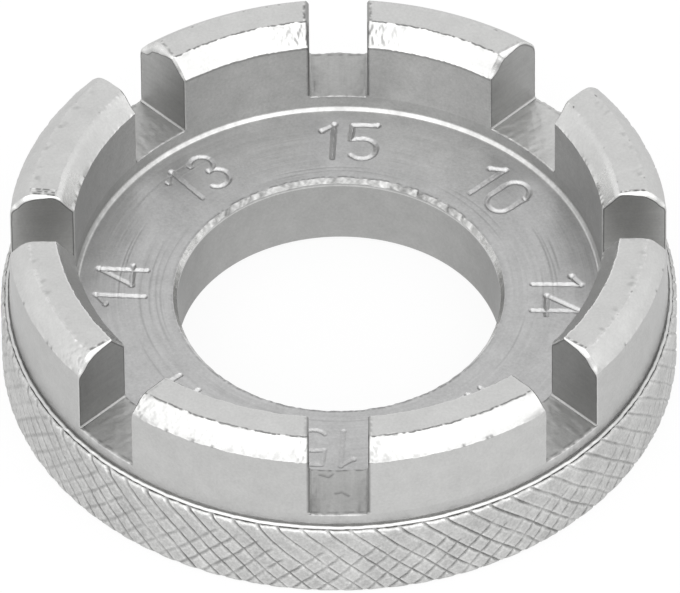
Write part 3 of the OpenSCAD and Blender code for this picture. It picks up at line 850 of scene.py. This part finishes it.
def lug_grid(k):
    """Lug k's r, z and angle, a row per station, and the mm from each station to both ends.

    Each point of the outline runs at its own radius, so that the lug's ends are flat and parallel
    to the slots.
    """
    after = (k + 1) % 8
    # The end's bevel is narrow on the walls and widens over the chamfers to its width on the top
    high = smooth_step(UP, TOP_Z - 1.25, TOP_Z - 0.6)
    outward = smooth_step(ACROSS, TOP_IN, TOP_OUT)
    uneven = 1 + 0.06 * np.clip(ripple(WALKED / CROWN_R, 0, 0.6, 40 + k, 2.0), -1.5, 1.5)
    edges = [(EDGE_WALL + (at_in + (at_out - at_in) * outward - EDGE_WALL) * high) * uneven
             for at_in, at_out, _ in ENDS[k]]
    arc_mm = WAY * (TURN / 8 * MIDDLE_R - (WIDTHS[k] + WIDTHS[after]) / 2)
    from_ends = arc_mm + BEYONDS[0], arc_mm.max() - arc_mm + BEYONDS[1]
    # The outer chamfer rounds off beside most slots and on every bevel, and the inner one rounds
    # over into the top on two lugs
    softened = 0.0
    for slot, bevel, away in zip((k, after), BEVELS, from_ends):
        rounded = (0 if slot in SHARP_SLOTS else ROUNDED) * bell(away, ROUNDED_OVER)
        softened = np.maximum(softened, np.maximum(1 - bevel, rounded))
    softened = softened * smooth_step(UP, TOP_Z - 1.7, TOP_Z - 1.2)
    softened = softened * smooth_step(ACROSS, MIDDLE_R - 0.5, MIDDLE_R + 0.4)
    inside = smooth_step(UP, TOP_Z - 0.7, TOP_Z - 0.3) * (ACROSS < MIDDLE_R)
    softened = np.maximum(softened, 0.8 * inside * (k in ROUND_INSIDE))
    # The end face is the outline drawn in by the bevel, and then shrunk towards the pole
    inset = sum((1 - bevel) * edge for bevel, edge in zip(BEVELS, edges))
    r, z = (SHAPE[:, i] + (SOFT[:, i] - SHAPE[:, i]) * softened for i in (0, 1))
    r = MIDDLE_R + (r - MIDDLE_R) * (1 - inset / HALF_W) * SIZE
    z = FLOOR_Z + (z - FLOOR_Z) * (1 - inset / HEIGHT)
    z = MIDDLE_Z + (z - MIDDLE_Z) * SIZE
    hollow = RUN_OUT * np.clip(1 - (z - FLOOR_Z) / RUN_OUT_H, 0, 1) ** 2
    gaps = [bevel * edge + beyond - hollow * (1 - bevel)
            for bevel, edge, beyond in zip(BEVELS, edges, BEYONDS)]
    begin, finish = end_angles(k, r, gaps)
    return r, z, begin * (1 - WAY) + finish * WAY, from_ends


def scored_rows(beyond, score):
    """Lines that the cutter scored across a top: one behind the bevel, more where it dug in."""
    first = dip(beyond - FIRST_LINE, FIRST_HALF) * min(score, 1)
    more = np.maximum(*(dip(beyond - line, MORE_HALF) for line in MORE_LINES))
    return np.maximum(first, more * max(score - 1, 0))


def scoring(k, angle, chatter):
    """How deep lug k's top is scored, 0 to 1, and less than 0 where a highlight is painted on.

    One line runs beside each chamfer, scored on some lugs and a painted highlight on the others,
    and up to three behind the bevel of each end.
    """
    wander = 0.012 * ripple(angle, 0, 0.35, 32, 3.0)
    # Beside the chamfers of lugs that are not scored there, the line is a painted highlight
    beside = [dip(away - 0.02 - wander, 0.08) * np.clip(level + 0.6 * chatter, 0, 1)
              for away, level in ((WALKED - AT_OUT, 0.8 if k in SCORED_OUTSIDE else -1.1),
                                  (AT_IN - WALKED, 0.85 if k in SCORED_INSIDE else -1.2))]
    along = np.maximum(*beside) * OPEN
    behind_end = np.maximum(*(scored_rows(beyond, end[2]) * here for beyond, end, here in
                              zip(BEYONDS, ENDS[k], (WAY < 0.01, WAY > 0.99))))
    # The lines behind the bevel are broken into short strokes, and fade beside the chamfers
    ladder = ripple(ACROSS / CROWN_R, BEYONDS[0] + BEYONDS[1], 0.22, 60 + k, 0.9)
    end_line = behind_end * np.clip(0.6 + 0.8 * ladder, -0.5, 1)
    for inward in (TOP_OUT - ACROSS, ACROSS - TOP_IN):
        end_line = end_line * smooth_step(inward, 0.0, 0.15)
    flat = (UP > TOP_Z - 1e-6) & OPEN
    return np.where(flat & (np.abs(end_line) > along), end_line, along)


def end_outline(slot):
    """Recess per station at a lug's end, all painted light: face, face's border, bevel."""
    # Painted light: the face bright beside the left and right slots and dark beside the others, a
    # dark border round it, and the bevel dark beside the front and back slots and bright elsewhere
    face = -0.36 if slot in BRIGHT_END_SLOTS else 0.15
    bevel = [0.7, 0.55, 0.4, 0.2] if slot in SHARP_SLOTS else [-0.25]
    known = [face] * (len(CAP) - 3) + [0.55, 0.55, 0.35] + bevel
    return known + [0.0] * (LEAD - len(known))


def lug_recess(k, angle, from_ends, line, chatter):
    """Recess over lug k: scored lines, painted highlights, smudges, ends' outline, painted walls.
    """
    # The inner top corner and the top beside the outer chamfer get painted highlights
    wear_and_highlight = dip(ACROSS - TOP_IN - 0.01, 0.08) * (UP > TOP_Z - 0.04)
    wear_and_highlight = wear_and_highlight * (k not in (*SCORED_INSIDE, *ROUND_INSIDE))
    edge_highlight = bell(WALKED - AT_OUT - 0.05, 0.10) * (k not in SCORED_OUTSIDE)
    smudge = bell(WALKED - AT_OUT - 0.25, 0.22) * (k not in SCORED_OUTSIDE + SCORED_INSIDE)
    smudge = smudge * np.clip(ripple(angle, WALKED[None, :], 0.45, 90 + k, 2.5) - 0.7, 0, 1)
    bright = 0.0
    # A painted highlight on the inner chamfer near one end of two lugs
    if k in ROUND_INSIDE:
        bright = bell(from_ends[ROUND_INSIDE[k]], 3.0) * (ACROSS < TOP_IN) * (UP > TOP_Z - 1.1)
    on_inner, on_outer = (0.4, 0.22) if k in HIGHLIT_LUGS else (0.12, 0.08)
    # Painted highlights brighten the lug; smudges darken it
    painted_light_and_wear = 0.35 * bright + on_inner * wear_and_highlight - 0.3 * smudge
    painted_light_and_wear = painted_light_and_wear + on_outer * edge_highlight * np.clip(0.5 + chatter, 0, 1)
    recess = np.clip(1.6 * line, -0.5, 0.9) - painted_light_and_wear * OPEN
    outline = np.concatenate([end_outline(k), np.zeros(MIDDLE), end_outline((k + 1) % 8)[::-1]])
    recess = recess + outline[:, None] * ((UP > FLOOR_Z + 0.12) | (SIZE < 0.96))
    # Painted light on the inner and outer walls of some lugs
    recess = recess - INSIDE_SHINE[k] * (ACROSS < WALL_R + 0.01) * OPEN
    return recess - OUTSIDE_SHINE[k] * (ACROSS > CROWN_R - 0.01) * OPEN


def lug(k):
    """The lug between slots k and k+1: an outline carried along an arc between two planes.

    At each end the outline first grows from a pole to its full size, less the bevel, and then goes
    out along the bevel; the foot of the end wall runs out in a small hollow.
    """
    r, z, angle, from_ends = lug_grid(k)
    chatter = ripple(angle, 0, 0.25, 31, 3.0)
    line = scoring(k, angle, chatter)
    z = z - SCORE_DEPTH * np.clip(line, 0, 1)
    recess = lug_recess(k, angle, from_ends, line, chatter)
    wander = [rise * np.clip(ripple(angle, 0, 0.3, seed, 4.0), -1.6, 1.6) * near
              for rise, seed, near in CORNERS]
    z = z + wander[0] + wander[1]
    r = r + wander[2] + wander[3]
    # Pits in the chamfers beside some slots
    away = [d if (k + i) % 8 in PITTED_SLOTS else 9.0 for i, d in enumerate(from_ends)]
    reach = np.where(ACROSS < MIDDLE_R, PITS_INNER, PITS_OUTER)
    pitted = np.maximum(bell(np.minimum(*away), reach), 0.45 * (k == PITTED_LUG))
    pits = np.clip(ripple(angle, WALKED[None, :], 0.22, 80 + k, 0.9) - 0.1, 0, 1.2)
    pits = pits * pitted * smooth_step(TOP_Z - UP, 0.02, 0.2)
    pits = pits * smooth_step(UP, TOP_Z - 1.15, TOP_Z - 0.95) * OPEN
    r = r - PIT_DEPTH * pits * np.sign(ACROSS - MIDDLE_R)
    recess = recess + np.where(ACROSS < MIDDLE_R, 0.6, 0.3) * pits
    # Painted shade: a dark line on the wall under the inner chamfers at the back
    brim = dip(UP - TOP_Z + 1.25, 0.1) * (ACROSS < WALL_R + 0.01) * (k in SCORED_INSIDE)
    recess = recess + 0.45 * brim * OPEN
    # A few nicks along the lower edge of the outer chamfer
    spots = np.random.default_rng(70 + k).uniform(0.1, 0.9, NICKS)
    nick = sum(bell((WAY - spot) * LUG_LONG, NICK_LONG) for spot in spots)
    nick = nick * bell(UP - TOP_Z + 1.03, NICK_HIGH) * (ACROSS > MIDDLE_R)
    r = r - NICK_DEPTH * nick
    recess = recess + (0.7 - recess) * np.minimum(nick, 1)
    r, z = np.clip(r, WALL_R, CROWN_R), np.minimum(z, TOP_Z)

    # The poles in the middle of the two end faces come last
    r, z, angle, recess = (np.append(grid, poles) for grid, poles in (
        (r, [MIDDLE_R] * 2), (z, [MIDDLE_Z] * 2), (angle, end_angles(k, MIDDLE_R)),
        (recess, recess[[0, -1], 0])))
    make_piece(LUGS[k] + "_plated", ring_points(r, z, angle), *LUG_FACES[:2],
               [satin, milled, bored, drawn_and_shaded], LUG_FACES[2], [LUGS[k]], "crown",
               slot_frame(angle, r, z)[1], recess)


knurled_wall()
rim_core()
crown_foot()
hole_edge()
gauge_face()
for number in range(8):
    lug(number)


# Floor, light and camera


# How far the floor reaches each way, in metres
FLOOR_HALF = 1.5


def studio():
    """A pale floor that looks white to the camera and keeps a soft shadow, under white light."""
    mesh = bpy.data.meshes.new("floor")
    mesh.from_pydata([(x * FLOOR_HALF, y * FLOOR_HALF, 0)
                      for x, y in ((-1, -1), (1, -1), (1, 1), (-1, 1))], [], [(0, 1, 2, 3)])
    floor = placed("floor", mesh)
    paper = bpy.data.materials.new("white_paper")
    paper.use_nodes = True
    tree = paper.node_tree
    tree.nodes.clear()
    ray = add(tree, "LightPath").node.outputs
    seen = ray["Is Camera Ray"]
    for kind in ("Is Glossy Ray", "Is Transmission Ray"):
        seen = add(tree, "Math", {0: seen, 1: ray[kind]}, operation="MAXIMUM")
    # The floor brightens to the world's own white far off, so that the metal shows no horizon
    place = add(tree, "TexCoord", output="Object")
    far = add(tree, "VectorMath", {0: place}, "Value", operation="LENGTH")
    far = add(tree, "MapRange", {"Value": far, "From Min": 0.04, "From Max": 0.5,
                                 "To Min": 0.9, "To Max": 1.0})
    share = add(tree, "Math", {0: seen, 1: far}, operation="MULTIPLY")
    matt = add(tree, "BsdfDiffuse", {"Color": linear("#ececec")})
    white = add(tree, "Emission", {"Color": linear("#ffffff"), "Strength": 1.0})
    both = add(tree, "MixShader", {0: share, 1: matt, 2: white})
    add(tree, "OutputMaterial", {"Surface": both})
    mesh.materials.append(paper)

    world = bpy.data.worlds.new("studio")
    bpy.context.scene.world = world
    world.use_nodes = True
    background = world.node_tree.nodes["Background"].inputs
    background["Color"].default_value = (1.0, 1.0, 1.0, 1.0)
    background["Strength"].default_value = 1.0


# How far the lamps stand from the ring, in metres
LAMP_DISTANCE = 1.2


def softbox(name, azimuth, elevation, width, height, radiance):
    """A flat lamp facing the ring, its angles in degrees and its size in metres.

    A white card at the lamp would be radiance bright.
    """
    data = bpy.data.lights.new(name, "AREA")
    data.shape, data.size, data.size_y = "RECTANGLE", width, height
    data.energy = radiance * pi * width * height
    lamp = placed(name, data)
    a, e = radians(azimuth), radians(elevation)
    direction = Vector((cos(a) * cos(e), sin(a) * cos(e), sin(e)))
    lamp.location = direction * LAMP_DISTANCE
    lamp.rotation_euler = direction.to_track_quat("Z", "Y").to_euler()


def photo_camera():
    """A long lens at the photograph's height and heading.

    The ring's slots stand 0.35 degrees clockwise in the photograph, so the camera goes round the
    axis by as much the other way.
    """
    # As fitted to the photograph: angles in radians, distance in mm, focal length in pixels
    elevation, roll, heading = 0.780409, -0.0097785, radians(0.35)
    distance, focal_px, width_px, height_px = 60.62846 * RIM_R, 20502.8, 680, 593
    # Where in the picture the axis crosses the height of a quarter of the rim's radius
    aim_x, aim_y = 338.795, 292.373
    sensor_mm = 36
    ahead = Vector((0, cos(elevation), -sin(elevation)))
    right = Vector((1, 0, 0))
    up = right.cross(ahead)
    right, up = (right * cos(roll) + up * sin(roll),
                 up * cos(roll) - right * sin(roll))
    px = distance / focal_px
    aim = Vector((0, 0, RIM_R / 4))
    aim = aim + right * px * (width_px / 2 - aim_x) - up * px * (height_px / 2 - aim_y)
    eye = aim - ahead * distance
    spin = Matrix.Rotation(heading, 4, "Z")
    pose = Matrix.Translation(eye * MM) @ Matrix((right, up, -ahead)).transposed().to_4x4()
    data = bpy.data.cameras.new("camera")
    data.sensor_width = sensor_mm
    data.lens = focal_px * sensor_mm / width_px
    data.clip_start, data.clip_end = 0.05, 20
    camera = placed("camera", data)
    camera.matrix_world = spin @ pose
    bpy.context.scene.camera = camera


studio()
softbox("front_softbox", -90, 48, 1.3, 1.35, 0.8)
softbox("left_softbox", -145, 40, 1.15, 1.2, 0.8)
softbox("right_softbox", -35, 40, 1.15, 1.2, 0.8)
softbox("left_card", 168, 20, 0.9, 0.55, 0.14)
softbox("right_card", 12, 20, 0.9, 0.55, 0.14)
photo_camera()
bpy.context.scene.view_settings.view_transform = "Standard"
